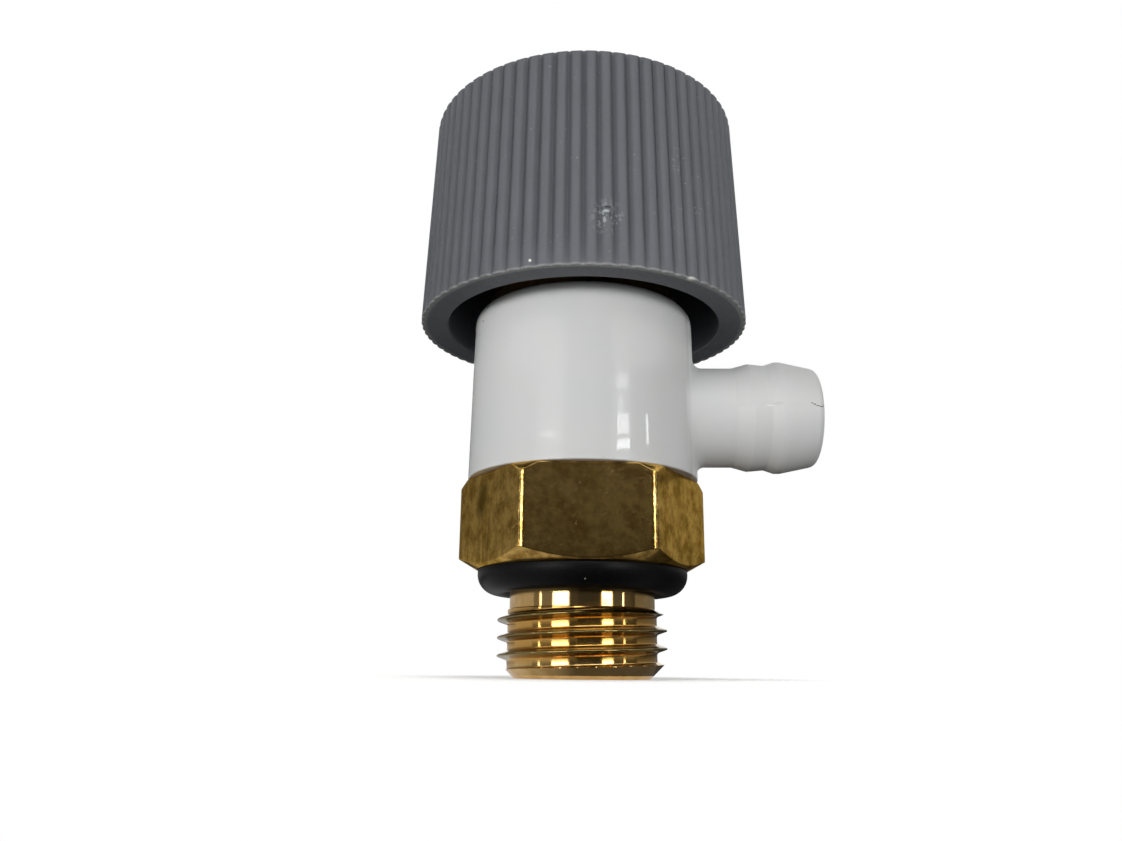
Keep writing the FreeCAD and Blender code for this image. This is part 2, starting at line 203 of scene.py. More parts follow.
def hang_lamp(name, azimuth, low, high, spread_deg, brightness, distance=0.4, matte=False, only=None):
    """Upright rectangle of light between two elevations; azimuth 0 is behind the camera, positive to its right.
    The brightness is what a mirror would show. It serves mirror reflections, or matte surfaces instead, and may be
    kept to the pieces of one collection."""
    lamp = bpy.data.lights.new(name, "AREA")
    lamp.shape = "RECTANGLE"
    a, e = math.radians(azimuth), math.radians((low + high) / 2)
    lamp.size = 2 * distance * math.tan(math.radians(spread_deg / 2)) * math.cos(e)
    lamp.size_y = 2 * distance * math.tan(math.radians((high - low) / 2))
    lamp.energy = brightness * math.pi * lamp.size * lamp.size_y
    away = Vector((math.sin(a) * math.cos(e), -math.cos(a) * math.cos(e), math.sin(e)))
    holder = bpy.data.objects.new(name, lamp)
    scene.collection.objects.link(holder)
    holder.location = away * distance + aim
    holder.rotation_euler = away.to_track_quat("Z", "Y").to_euler()
    holder.visible_camera = False
    holder.visible_diffuse = matte
    holder.visible_glossy = not matte
    holder.light_linking.receiver_collection = only


print("lamps aim at a point", round(aim.z * 1000), "mm up the axis")

# %% Hang the lamps
floor_only = bpy.data.collections.new("floor_only")
floor_only.objects.link(floor)
brass_only = bpy.data.collections.new("brass_only")
knob_only = bpy.data.collections.new("knob_only")
# Name, azimuth, lowest and highest elevation, spread in degrees, brightness, and distance in metres.
hang_lamp("soft_low", -24, -4, 5, 70, 6.0, 0.25, matte=True)
hang_lamp("soft_front", -10, 5, 40, 60, 0.2, 0.6, matte=True)
hang_lamp("knob_fill", 14, -8, 5, 40, 6, 0.06, matte=True, only=knob_only)
hang_lamp("knob_top", 0, 75, 105, 60, 1.5, 0.3, matte=True, only=knob_only)
hang_lamp("soft_back", 165, 0, 40, 80, 1.6, 0.4, matte=True)
hang_lamp("overhead", 0, 60, 89, 60, 18, 0.5, matte=True, only=floor_only)
window_low, window_high, window_top, top_share = -2, 9, 13.5, 0.3
for side, azimuth, spread, strength in (("left", -33, 25, 7), ("right", 38.5, 16, 7), ("left_slit", -67, 3, 5),
                                        ("right_slit", 66, 2.5, 5)):
    hang_lamp(side + "_window", azimuth, window_low, window_high, spread, strength)
    hang_lamp(side + "_window_top", azimuth, window_high, window_top, spread, top_share * strength, only=brass_only)
for name, azimuth, low, high, spread, strength in (("left_pane", -32, 14.9, 15.4, 17, 3),
                                                   ("right_pane_low", 39.5, 14.1, 14.8, 13, 9),
                                                   ("right_pane", 39.5, 15.15, 16.7, 12, 6),
                                                   ("right_pane_high", 37.5, 16.8, 18.0, 7, 2.2),
                                                   ("right_pane_top", 39.5, 18.5, 19.5, 11, 3),
                                                   ("right_slit_pane", 65.5, 14.3, 16.4, 2.5, 8),
                                                   ("knob_sheen", 12, 26, 38, 50, 4)):
    hang_lamp(name, azimuth, low, high, spread, strength)

# %% [markdown]
# ## Cards
#
# A photographer props up grey and black cards, so that a shiny thing doesn't reflect white everywhere. Dark cards,
# upright and on the table, keep the front flat of the hexagon dark, and grey cards at the sides keep the other flats
# golden instead of white. A flat plane could serve, but a bent strip follows the circle round the valve and leaves no
# gap at its ends. Only reflections see the cards.

# %% A helper for cards
card_points = 25


def hang_card(name, start_deg, end_deg, near, far, brightness, right=None):
    """Bent card between two (distance, height) edges in metres, for reflections only. A second brightness is reached
    on the right of the valve."""
    # Grey card: its glow is all that a reflection shows of it.
    paper, tree = new_material(name)
    if right is not None:
        across = add_node(tree, "SeparateXYZ", [add_node(tree, "TexCoord", {}, "Object")], "X")
        brightness = add_node(tree, "MapRange", [across, -0.0055, -0.0005, brightness, right])
    glow = add_node(tree, "Emission", {"Color": white, "Strength": brightness})
    add_node(tree, "OutputMaterial", {"Surface": glow})
    steps = np.radians(np.linspace(start_deg, end_deg, card_points))
    points = [(r * math.sin(a), -r * math.cos(a), z) for r, z in (near, far) for a in steps]
    mesh = bpy.data.meshes.new(name)
    mesh.from_pydata(points, [], [(i, i + 1, i + card_points + 1, i + card_points) for i in range(card_points - 1)])
    mesh.materials.append(paper)
    card = bpy.data.objects.new(name, mesh)
    scene.collection.objects.link(card)
    card.visible_camera = card.visible_diffuse = card.visible_shadow = False


print("a card has", card_points - 1, "faces")

# %% Hang the cards
wall_r, table_z = 0.5, 0.0002
valve_edge, strip_edge, behind_edge = 0.0055, 0.007, 0.04
# Upright cards: the lower edge of each wall shows on the neck and the thread, the upper part on the hexagon.
for name, start, end, low, high, strength in (("front", -19, 29, 0.06, 0.26, (0.015, 0.09)),
                                              ("left_corner", -80, -46, 0.06, 0.2, (0.15, 0.15)),
                                              ("right_corner", 48, 90, 0.06, 0.2, (0.06, 0.06)),
                                              ("left", -165, -80, 0.06, 0.35, (0.5, 0.2)),
                                              ("right", 90, 165, 0.06, 0.35, (0.17, 0.33))):
    hang_card(name + "_wall", start, end, (wall_r, 0), (wall_r, low), strength[0])
    hang_card(name + "_wall_upper", start, end, (wall_r, low), (wall_r, high), strength[1])
# Cards on the table, bright on the left and dark in front and behind; the strip next to the valve shows on the
# bevel of its thread.
hang_card("table_close", -120, 80, (valve_edge, table_z), (strip_edge, table_z), 0.6, 0.09)
for k, (start, end, strength) in enumerate(((-120, -35, 0.5), (-35, -18, 0.36), (-18, -6, 0.16), (-6, 28, 0.04),
                                            (28, 45, 0.1), (45, 80, 0.26))):
    hang_card("table_%d" % k, start, end, (strip_edge, table_z), (wall_r, table_z), strength)
hang_card("table_behind_left", -165, -120, (valve_edge, table_z), (behind_edge, table_z), 0.5)
hang_card("table_behind", 80, 195, (valve_edge, table_z), (behind_edge, table_z), 0.05)
hang_card("table_far_behind", 80, 240, (behind_edge, table_z), (wall_r, table_z), 0.05)

# %% [markdown]
# ## Turned shapes
#
# Nearly everything here came off a lathe or out of a round mould. Such a shape is a stack of rings: each row is a
# radius and a height, and either may change round the circle. Neighbouring rows are joined by four-sided faces. The
# Screw modifier could spin an outline too, but then every column would be the same, without threads or ribs.
#
# Sharp edges on real things are never perfectly sharp, so another function rounds the corners of an outline before
# it is spun.

# %% Round an outline
MM = 0.001


def rounded(corners, steps=5, hold=True):
    """Points along (radius, height[, rounding]) corners, with an arc in place of each rounded corner. With hold,
    straight runs get a point close to either end, so that smooth shading can't bend them."""
    long_run, margin = 0.4, 0.03
    points = [np.array(corner[:2], float) for corner in corners]
    path = [points[0]]
    for i in range(1, len(corners) - 1):
        size = corners[i][2] if len(corners[i]) > 2 else 0
        if not size:
            path.append(points[i])
            continue
        back = points[i - 1] - points[i]
        ahead = points[i + 1] - points[i]
        back, ahead = back / np.linalg.norm(back), ahead / np.linalg.norm(ahead)
        half = math.acos(max(-1.0, min(1.0, float(back @ ahead)))) / 2
        centre = points[i] + (back + ahead) / np.linalg.norm(back + ahead) * size / math.sin(half)
        start = points[i] + back * size / math.tan(half) - centre
        end = points[i] + ahead * size / math.tan(half) - centre
        sweep = math.pi - 2 * half
        for k in range(steps + 1):
            share = k / steps
            between = math.sin((1 - share) * sweep) * start + math.sin(share * sweep) * end
            path.append(centre + between / math.sin(sweep))
    path.append(points[-1])
    held = [path[0]]
    for low, high in zip(path, path[1:]):
        run = np.linalg.norm(high - low)
        if hold and run > long_run:
            held += [low + (high - low) * margin / run, high - (high - low) * margin / run]
        held.append(high)
    return held


print("a rounded corner has", len(rounded([(0, 0), (1, 0, 0.2), (1, 1)], hold=False)) - 2, "points")


# %% Stack rings
def ring_rows(rows, angles):
    """Points of a stack of rings in metres, from rows of (radius, height), each a number or one value per angle."""
    stack = []
    for radius, height in rows:
        radius = np.broadcast_to(radius, angles.shape)
        height = np.broadcast_to(height, angles.shape)
        stack.append(np.stack([radius * np.cos(angles), radius * np.sin(angles), height], 1) * MM)
    return stack


def ring_faces(rows, columns, first=0, close=False):
    """Quads between the rows of a stack; close joins the last row to the first."""
    index = np.arange(rows * columns).reshape(rows, columns) + first
    low = index if close else index[:-1]
    high = np.roll(index, -1, 0) if close else index[1:]
    return np.stack([low, np.roll(low, -1, 1), np.roll(high, -1, 1), high], -1).reshape(-1, 4).tolist()


def new_object(name, points, faces):
    """Mesh object from points and faces."""
    mesh = bpy.data.meshes.new(name)
    mesh.from_pydata(np.asarray(points).tolist(), [], faces)
    piece = bpy.data.objects.new(name, mesh)
    scene.collection.objects.link(piece)
    return piece


print("a closed stack of 3 rings of 8 points has", len(ring_faces(3, 8, close=True)), "faces")

# %% Combine and finish pieces
smooth_deg = 32


def combine(piece, tools):
    """Changes a piece by (operation, tool object) pairs and removes the tools."""
    for operation, tool in tools:
        change = piece.modifiers.new(operation, "BOOLEAN")
        change.operation, change.object, change.solver = operation, tool, "EXACT"
    result = bpy.data.meshes.new_from_object(piece.evaluated_get(bpy.context.evaluated_depsgraph_get()))
    piece.modifiers.clear()
    piece.data = result
    for _, tool in tools:
        bpy.data.objects.remove(tool)


def finish_piece(piece, node, body, slot, *materials):
    """Smooth shading up to an angle, a finish, and a tie to the moving body and the node it stands for."""
    piece.data.shade_smooth()
    piece.data.set_sharp_from_angle(angle=math.radians(smooth_deg))
    piece.data.materials.clear()
    for material in materials:
        piece.data.materials.append(material)
    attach(piece, body)
    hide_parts(node)


print("edges up to", smooth_deg, "degrees are shaded smooth")

# %% [markdown]
# ## Patterns at their real size
#
# Scratches, stains and dust have a size. A picture of them could be wrapped round each piece, but noise needs no
# seams, and its scale can be worked out from millimetres: a scale of 2 makes clouds of about half a millimetre. A
# single mark is a soft ellipsoid that the surface cuts through.


# %% Helpers for patterns
def place_mm(tree, stretch=(1, 1, 1)):
    """Position on the piece in millimetres; a pattern runs along the axis whose stretch is small."""
    here = add_node(tree, "TexCoord", {}, "Object")
    return add_node(tree, "Mapping", {"Vector": here, "Scale": [1000 * s for s in stretch]})


def spot(tree, centre, size, soft=0.4):
    """1 inside an ellipsoid round a point in millimetres, 0 outside: a single mark on the surface."""
    near = add_node(tree, "Mapping", {"Vector": add_node(tree, "TexCoord", {}, "Object"),
                                      "Location": [-c / s for c, s in zip(centre, size)],
                                      "Scale": [1000 / s for s in size]})
    away = add_node(tree, "VectorMath", [near], "Value", operation="LENGTH")
    return add_node(tree, "MapRange", [away, 1, 1 - soft])


def layered(tree, ground, *layers):
    """A ground colour with others laid over it, each with the share of it that shows."""
    tone = linear(ground)
    for share, colour in layers:
        tone = add_node(tree, "Mix", {0: share, 6: tone, 7: linear(colour)}, 2, data_type="RGBA")
    return tone


print("patterns: a place in mm, a single spot, and colours in layers")

# %% [markdown]
# ## Brass
#
# Two finishes meet on the nipple. The hexagon keeps the skin of the drawn bar: dull, a little brown, with fine
# marks from the drawing and from handling. The thread and neck were cut on the lathe: brighter, with very fine lines
# that run round the axis. One brass with a mask could do for both, but two materials are easier to read. Both are
# metal, so the colour lies in the reflection and there is no diffuse layer.

# %% Make the drawn brass
# Drawn bar skin: oxide clouds of 1.2 mm, upright streaks from the drawing die 0.6 mm wide that show best on the left
# flat, and curved handling scratches, drawn wider than real ones so that they show. Scratches are rough, so they
# catch light where the flat itself is dark. The corners are bruised by spanners, in dents of 0.25 mm.
brass_drawn, tree = new_material("brass_hexagon_bar_drawn")
here = place_mm(tree)
clouds = add_node(tree, "TexNoise", {"Vector": here, "Scale": 0.8, "Detail": 7, "Roughness": 0.65})
streaks = add_node(tree, "TexNoise", {"Vector": place_mm(tree, (1.6, 1.6, 0.12)), "Scale": 1, "Detail": 3})
swirls = add_node(tree, "TexNoise", {"Vector": place_mm(tree, (0.8, 0.8, 1.5)), "Scale": 0.9, "Detail": 3,
                                     "Distortion": 1.8})
patches = add_node(tree, "TexNoise", {"Vector": here, "Scale": 0.7, "Detail": 2})
bruises = add_node(tree, "TexNoise", {"Vector": here, "Scale": 4, "Detail": 4})
left_flat = add_node(tree, "MapRange", [add_node(tree, "SeparateXYZ", [here], "X"), -4.3, -5.0, 0.08, 0.7])
streaked = add_node(tree, "Math", [add_node(tree, "MapRange", [streaks, 0.5, 0.68]), left_flat], operation="MULTIPLY")
blotch = add_node(tree, "Math", [spot(tree, (-7.6, -3.8, 13.0), (1.0, 1.1, 2.0), 0.7), 0.8], operation="MULTIPLY")
thin = add_node(tree, "Math", [swirls, 0.5, 0.006], operation="COMPARE")
scratched = add_node(tree, "MapRange", [patches, 0.42, 0.6, 0, 0.6])
scratch = add_node(tree, "Math", [thin, scratched], operation="MULTIPLY")
tone = layered(tree, "#e4bd6e", (add_node(tree, "MapRange", [clouds, 0.4, 0.62]), "#9a763c"), (streaked, "#7f5f30"),
               (blotch, "#5e4a2a"), (scratch, "#e9cf94"))
off_axis = add_node(tree, "VectorMath", [place_mm(tree, (1, 1, 0))], "Value", operation="LENGTH")
corner = add_node(tree, "MapRange", [off_axis, 9.6, 9.65])
rough = add_node(tree, "MapRange", [clouds, 0.32, 0.68, 0.1, 0.2])
rough = add_node(tree, "Math", [scratch, 0.14, rough], operation="MULTIPLY_ADD")
rough = add_node(tree, "Math", [corner, -0.06, rough], operation="MULTIPLY_ADD")
bumps = add_node(tree, "Math", [clouds, 0.4], operation="MULTIPLY")
bumps = add_node(tree, "Math", [corner, bruises, bumps], operation="MULTIPLY_ADD")
relief = add_node(tree, "Bump", {"Height": bumps, "Strength": 0.6, "Distance": 0.00004})
surface = add_node(tree, "BsdfPrincipled", {"Base Color": tone, "Metallic": 1, "Roughness": rough, "Normal": relief,
                                            "Specular Tint": linear("#f3dcae")})
add_node(tree, "OutputMaterial", {"Surface": surface})
print("made", brass_drawn.name)

# %% [markdown]
# ### Turned brass
#
# The lathe leaves fine lines round the axis. Each one scatters light along the axis and not round it, so a window
# becomes an upright bright line. Modelling the lines would take millions of faces, and the shader's anisotropy gives
# the same look, with the tangent round the axis and a quarter turn.

# %% Make the turned brass
# Turned brass: lines about 0.05 mm apart, of which some are drawn as well, at 0.12 mm so that they show, with a
# faint brown stain in clouds of 1.2 mm. The thread is a deeper yellow than the neck, and its flanks carry painted
# shade, because light thrown from one to the other would make them glow. The outside is bright; the pieces inside
# are dull, and their colour is darkened with painted shade, so that they stay dark in the gap under the knob.
for name, pale, brown, smooth, dull, depth in (("brass_turned_bright", "#e6c080", "#d4aa66", 0.11, 0.16, 0.00002),
                                               # The inside brass: its colours are darkened as painted shade.
                                               ("brass_turned_dull_painted_dark", "#66502f", "#48381f", 0.34, 0.5, 0.00004)):
    material, tree = new_material(name)
    lines = add_node(tree, "TexNoise", {"Vector": place_mm(tree, (0.05, 0.05, 8)), "Scale": 1, "Detail": 2})
    stain = add_node(tree, "TexNoise", {"Vector": place_mm(tree), "Scale": 0.8, "Detail": 5})
    height = add_node(tree, "SeparateXYZ", [place_mm(tree)], "Z")
    on_thread = add_node(tree, "Math", [add_node(tree, "MapRange", [height, 1.0, 1.4]),
                                        add_node(tree, "MapRange", [height, 5.3, 5.0])], operation="MULTIPLY")
    off_axis = add_node(tree, "VectorMath", [place_mm(tree, (1, 1, 0))], "Value", operation="LENGTH")
    # Painted shade on the thread's flanks, above the root.
    above_root = add_node(tree, "MapRange", [off_axis, 5.88, 6.0])
    flank = add_node(tree, "Math", [above_root, on_thread], operation="MULTIPLY")
    tone = layered(tree, pale, (add_node(tree, "MapRange", [stain, 0.4, 0.7]), brown), (on_thread, "#dcab5c"),
                   (flank, "#94804f"))
    rough = add_node(tree, "MapRange", [stain, 0.3, 0.7, smooth, dull])
    relief = add_node(tree, "Bump", {"Height": lines, "Strength": 0.06, "Distance": depth})
    round_axis = add_node(tree, "Tangent", {}, direction_type="RADIAL", axis="Z")
    surface = add_node(tree, "BsdfPrincipled", {"Base Color": tone, "Metallic": 1, "Roughness": rough,
                                                "Normal": relief, "Anisotropic": 0.95, "Anisotropic Rotation": 0.25,
                                                "Tangent": round_axis})
    add_node(tree, "OutputMaterial", {"Surface": surface})
    print("made", material.name)
brass_turned, brass_inner_painted_dark = (bpy.data.materials[name] for name in ("brass_turned_bright", "brass_turned_dull_painted_dark"))

# %% [markdown]
# ## The nipple
#
# The nipple is turned from hexagon bar. Each corner of the bar is rounded, so every column needs its own distance
# from the axis: on a flat it follows from the flat, and near a corner from the corner's small circle. A cylinder of
# six sides with a bevel could stand in for it, but then the round thread below would need columns of its own. Here
# both share them, and they crowd together at the six corners, where the shape bends.

# %% Set out the hexagon
corner_turn, flat_r, corner_round = math.radians(2.9), 8.5, 0.614
bend = math.radians(2.2)
near_corner = np.linspace(-bend, bend, 19)
on_flat = np.linspace(bend, math.radians(60) - bend, 49)[1:-1]
sector = np.concatenate([near_corner, on_flat])
nipple_angles = np.concatenate([sector + math.radians(60 * k) + corner_turn for k in range(6)])

off_corner = (nipple_angles - corner_turn + math.radians(30)) % math.radians(60) - math.radians(30)
centre_r = (flat_r - corner_round) / math.cos(math.radians(30))
touch = math.atan2(corner_round / 2, centre_r + corner_round * math.cos(math.radians(30)))
inside = np.clip(corner_round ** 2 - (centre_r * np.sin(off_corner)) ** 2, 0, None)
hex_r = np.where(np.abs(off_corner) < touch, centre_r * np.cos(off_corner) + np.sqrt(inside),
                 flat_r / np.cos(math.radians(30) - np.abs(off_corner)))
print("hexagon", 2 * flat_r, "mm across flats,", round(2 * hex_r.max(), 2), "mm across corners")

# %% [markdown]
# ### The thread
#
# The pipe thread climbs 1.337 mm a turn. Its crests are narrow and its roots are drawn wide and flat, because a flat
# root is what holds the bright lines between the crests. A helix could be swept along a curve. On a stack of rings it
# needs no sweep: at every angle and height the distance to the nearest crest gives the radius, and the two end
# chamfers limit it.

# %% Cut the thread
thread_r, neck_r, bore_r = 13.157 / 2, 5.65, 3.0
thread_pitch, crest_height, thread_top = 1.337, 2.29, 5.15
flank_angle, flank_tip, root_depth = math.radians(18), 0.22, 0.8
root_round, crest_round = 0.14, 0.12
end_chamfer_r, run_out = 5.23, 0.5
end_face_r, bore_bevel = 5.15, 0.12


def thread_radius(height):
    """Radius of the pipe thread at one height, for every angle of the nipple."""
    phase = (height - crest_height) / thread_pitch - nipple_angles / (2 * math.pi)
    off_crest = np.abs(phase - np.round(phase)) * thread_pitch
    flank = thread_r + flank_tip - off_crest / math.tan(flank_angle)
    root_r = thread_r - root_depth
    radius = (flank + root_r + np.hypot(flank - root_r, root_round)) / 2
    radius = (radius + thread_r - np.hypot(radius - thread_r, crest_round)) / 2
    lower_limit = end_chamfer_r + height
    upper_limit = neck_r + (thread_top - height) * (thread_r - neck_r) / run_out
    return np.minimum(radius, np.minimum(lower_limit, upper_limit))


rows = [(bore_r, bore_bevel), (bore_r + bore_bevel, 0.0), (end_face_r, 0.0)]
rows += [(thread_radius(h), h) for h in np.linspace(0.02, thread_top, 148)]
print("thread of", len(rows), "rows and", len(nipple_angles), "columns")

# %% [markdown]
# ### The rest of the nipple
#
# A hexagon that was turned at its ends shows curved lines there, because the chamfers reach further along the bar at
# the corners than at the flats. Cutting the bar with two cones would give them too. Here each column has an outline
# of its own, so the same curves come from its distance from the axis, and their edges are rounded as well. The shank
# and the bore close the stack.

# %% Build the nipple
hex_low, hex_high, shoulder_r = 8.1, 15.15, 6.7
low_chamfer_r, low_slope = 8.25, math.tan(math.radians(30))
top_chamfer_r, top_slope = 9.15, 1.19
rows += rounded([(neck_r, thread_top), (neck_r, hex_low), (low_chamfer_r, hex_low - 0.001)], 3)[1:-1]
hex_profiles = []
for r in hex_r:
    low = hex_low + (r - low_chamfer_r) * low_slope
    high = hex_high - max(0.1, (r - top_chamfer_r) * top_slope)
    top_r = min(top_chamfer_r, r - 0.08)
    corners = [(6.0, hex_low), (low_chamfer_r, hex_low, 0.04), (r, low, 0.06), (r, low + 0.1), (r, high - 0.1),
               (r, high, 0.05), (top_r, hex_high, 0.04), (shoulder_r, hex_high)]
    hex_profiles.append(rounded(corners, 3, hold=False)[1:-1])
hex_profiles = np.array(hex_profiles)
hex_start = len(rows)
rows += [(hex_profiles[:, k, 0], hex_profiles[:, k, 1]) for k in range(hex_profiles.shape[1])]
hex_end = len(rows)
rows += rounded([(shoulder_r, hex_high), (6.5, hex_high), (6.5, 15.91), (5.685, 15.91), (5.685, 16.99), (6.5, 16.99),
                 (6.5, 17.75, 0.2), (4.0, 17.75), (4.0, 18.25, 0.15), (3.4, 18.25, 0.15), (3.4, 16.0),
                 (bore_r, 16.0), (bore_r, bore_bevel)], 3)[1:-1]
points = np.concatenate(ring_rows(rows, nipple_angles))
columns = len(nipple_angles)
nipple = new_object("nipple", points, ring_faces(len(rows), columns, close=True))
finish_piece(nipple, "inlet_nipple", "body", "brass", brass_turned, brass_drawn)
# The bar's skin covers the flats and their chamfers.
flats = np.zeros(len(rows), int)
flats[hex_start + 2:hex_end - 1] = 1
nipple.data.polygons.foreach_set("material_index", np.repeat(flats, columns))
brass_only.objects.link(nipple)
print("nipple faces", len(nipple.data.polygons), "hexagon rows", hex_start, hex_end)

# %% [markdown]
# ## Rubber
#
# A sealing ring is moulded from black rubber. It is matte, but not perfectly: a faint broad sheen shows its
# roundness. It could be a torus, but the hexagon presses its upper side flat, so it is turned from an arc and a flat.

# %% Make the rubber
# Black rubber, moulded: a matte skin with a grain of 0.17 mm and a pale speck of dust.
rubber, tree = new_material("rubber_moulded_black")
grain = add_node(tree, "TexNoise", {"Vector": place_mm(tree), "Scale": 6, "Detail": 3})
tone = layered(tree, "#070708", (add_node(tree, "MapRange", [grain, 0.45, 0.85]), "#101012"),
               (spot(tree, (0.2, -7.75, 6.85), (0.07, 0.4, 0.07)), "#8c8c88"))
relief = add_node(tree, "Bump", {"Height": grain, "Strength": 0.1, "Distance": 0.00002})
surface = add_node(tree, "BsdfPrincipled", {"Base Color": tone, "Normal": relief, "Roughness": 0.38,
                                            "Specular IOR Level": 0.12})
add_node(tree, "OutputMaterial", {"Surface": surface})
print("made", rubber.name)

# %% Turn the sealing ring
ring_r, ring_z, ring_round = 6.64, 7.77, 1.55
ring_flat_z, ring_bore_r = 8.084, 5.68
arc = np.radians(np.linspace(-128, 11, 60))
rows = [(ring_r + ring_round * math.cos(a), ring_z + ring_round * math.sin(a)) for a in arc]
rows += [(8.1, ring_flat_z), (5.73, ring_flat_z), (ring_bore_r, 8.05), (ring_bore_r, 7.4)]
turns = np.linspace(0, 2 * math.pi, 192, endpoint=False)
faces = ring_faces(len(rows), len(turns), close=True)
o_ring = new_object("sealing_ring", np.concatenate(ring_rows(rows, turns)), faces)
finish_piece(o_ring, "port_o_ring", "body", "rubber", rubber)
print("sealing ring, widest at", ring_z, "mm")

# %% [markdown]
# ## White body
#
# The body is injection moulded in a glossy white plastic. It reflects the windows as crisp upright patches, and a
# few dark specks of dust cling under the knob. The specks could be tiny meshes of their own. As spots in the colour
# they need no faces and lie on the wall by themselves.

# %% Make the white plastic
# White plastic from a polished mould: a clear gloss on the body that turns satin on the tail. The wall ripples by a
# few hundredths of a millimetre over 2 mm, which bends the reflected panes.
white_plastic, tree = new_material("white_plastic_moulded_gloss")
here = place_mm(tree)
haze = add_node(tree, "TexNoise", {"Vector": here, "Scale": 0.25, "Detail": 3})
ripple = add_node(tree, "TexNoise", {"Vector": here, "Scale": 0.5, "Detail": 2})
# Dust under the knob, a painted highlight on the tail's parting line, and a hairline crack at the nose of the tail.
marks = (((-7.6, -4.8, 28.5), (0.36, 0.36, 0.12), "#77787a"), ((-8.0, -4.2, 27.5), (0.12, 0.2, 0.1), "#8c8d8e"),
         ((-8.3, -3.6, 26.6), (0.1, 0.2, 0.07), "#96979a"), ((-1.67, -8.6, 29.1), (0.16, 0.4, 0.08), "#3c3d3f"),
         # The near-white spot on the tail at 14.5 mm is a painted highlight.
         ((0.4, -8.8, 28.95), (0.2, 0.4, 0.07), "#8f9092"), ((14.5, -4.42, 20.53), (0.42, 0.3, 0.06), "#f4f4f2"),
         ((17.75, -4.15, 20.77), (0.12, 0.3, 0.05), "#6f6e6a"), ((17.95, -4.1, 20.68), (0.14, 0.3, 0.06), "#5a5955"),
         ((18.2, -4.0, 20.58), (0.2, 0.3, 0.05), "#5a5955"), ((18.45, -3.9, 20.52), (0.18, 0.3, 0.05), "#4a4945"),
         ((18.65, -3.7, 20.6), (0.12, 0.4, 0.06), "#4a4945"))
spots = [(spot(tree, centre, size), colour) for centre, size, colour in marks]
tone = layered(tree, "#d3d5d5", (haze, "#dadad8"), *spots)
across = add_node(tree, "SeparateXYZ", [here], "X")
satin = add_node(tree, "MapRange", [across, 7.9, 8.9, 0.025, 0.5], interpolation_type="SMOOTHSTEP")
relief = add_node(tree, "Bump", {"Height": ripple, "Strength": 0.08, "Distance": 0.00004})
surface = add_node(tree, "BsdfPrincipled", {"Base Color": tone, "Roughness": satin, "Normal": relief})
add_node(tree, "OutputMaterial", {"Surface": surface})
print("made", white_plastic.name, "with", len(marks), "marks")

# %% [markdown]
# ### Shape of the body
#
# The body is one turned shape with a second one, the hose tail, lying across it. Sculpting could blend the two. Here
# the wall is spun first, hollow inside like the real one, and the tail is made to fit it.

# %% Turn the body
wall_low_r, wall_taper, wall_low_z, wall_height = 9.2, 0.22, 15.15, 14.05
rows = rounded([(6.53, wall_low_z), (wall_low_r, wall_low_z, 0.12), (8.98, 29.2, 1.0), (7.16, 29.2), (7.16, 28.07),
                (6.03, 28.07), (6.03, 25.97), (5.5, 25.97), (5.5, 17.78), (6.53, 17.78), (6.53, 15.4)], 8)
turns = np.linspace(0, 2 * math.pi, 240, endpoint=False)
faces = ring_faces(len(rows), len(turns), close=True)
body = new_object("moulded_body", np.concatenate(ring_rows(rows, turns)), faces)
print("body wall of", len(rows), "rows")

# %% [markdown]
# ### The hose tail
#
# Where the tail meets the wall the mould leaves a soft hollow: each column of the tail starts with a small arc that
# is tangent to the round wall. A bevel on the seam could make it, but seams of a boolean rarely bevel cleanly. The
# two halves of the mould don't meet perfectly, so the upper half of the barbs is a little nearer to the body than the
# lower half, with a fine step along the parting line.

# %% Shape the hose tail
tail_z, tail_r, straight_x = 20.65, 4.06, 11
hollow_r, hollow_round = 4.9, 0.75
barb_shift, line_step = 0.25, 0.015


def wall_x(radius, angle):
    """Where the body's wall stands, at a distance from the tail's axis."""
    wall_r = wall_low_r - wall_taper * (tail_z - radius * np.sin(angle) - wall_low_z) / wall_height
    return np.sqrt(wall_r ** 2 - (radius * np.cos(angle)) ** 2)


def ramp(value, start, end):
    """Smooth step from 0 at the start to 1 at the end."""
    share = np.clip((value - start) / (end - start), 0, 1)
    return share * share * (3 - 2 * share)


# Columns crowd together at the parting line, which runs along the front and the back of the tail.
at_line, between_lines = np.radians(np.linspace(-4, 4, 11)), np.radians(np.arange(6.5, 176, 2.5))
around = np.concatenate([at_line, between_lines, at_line + math.pi, between_lines + math.pi])
upper = ramp(-np.sin(around), -0.03, 0.03)
arcs = []
for a in around:
    corners = [(wall_x(hollow_r, a), hollow_r), (wall_x(tail_r, a), tail_r, hollow_round), (straight_x, tail_r)]
    arcs.append(rounded(corners, 8, hold=False)[1:-1])
arcs = np.array(arcs)
rows = [(6.5, 3.5), (wall_x(hollow_r, around) - 0.4, hollow_r)]
rows += [(arcs[:, k, 0], arcs[:, k, 1]) for k in range(arcs.shape[1])] + [(arcs[:, -1, 0] + 0.05, tail_r)]
barbs = rounded([(straight_x, tail_r), (12.1, tail_r, 0.4), (13.35, 4.41, 0.25), (14.7, 4.28, 0.25),
                 (15.55, 4.56, 0.15), (16.0, 4.56, 0.4), (18.83, 3.935, 0.6), (18.83, 1.5)])
for x, r in barbs:
    mismatch = ramp(x, 11.5, 12.5) * (1 - ramp(x, 16.5, 18))
    rows.append((x - barb_shift * mismatch * upper * np.cos(around) ** 2, r - line_step * mismatch * (1 - upper)))
points = [np.stack([np.broadcast_to(x, around.shape), -r * np.cos(around), tail_z - r * np.sin(around)], 1) * MM
          for x, r in rows]
columns = len(around)
faces = ring_faces(len(rows), columns)
faces += [list(range(columns))[::-1], [(len(rows) - 1) * columns + k for k in range(columns)]]
tail = new_object("tail", np.concatenate(points), faces)
print("tail of", len(rows), "rows and", columns, "columns")

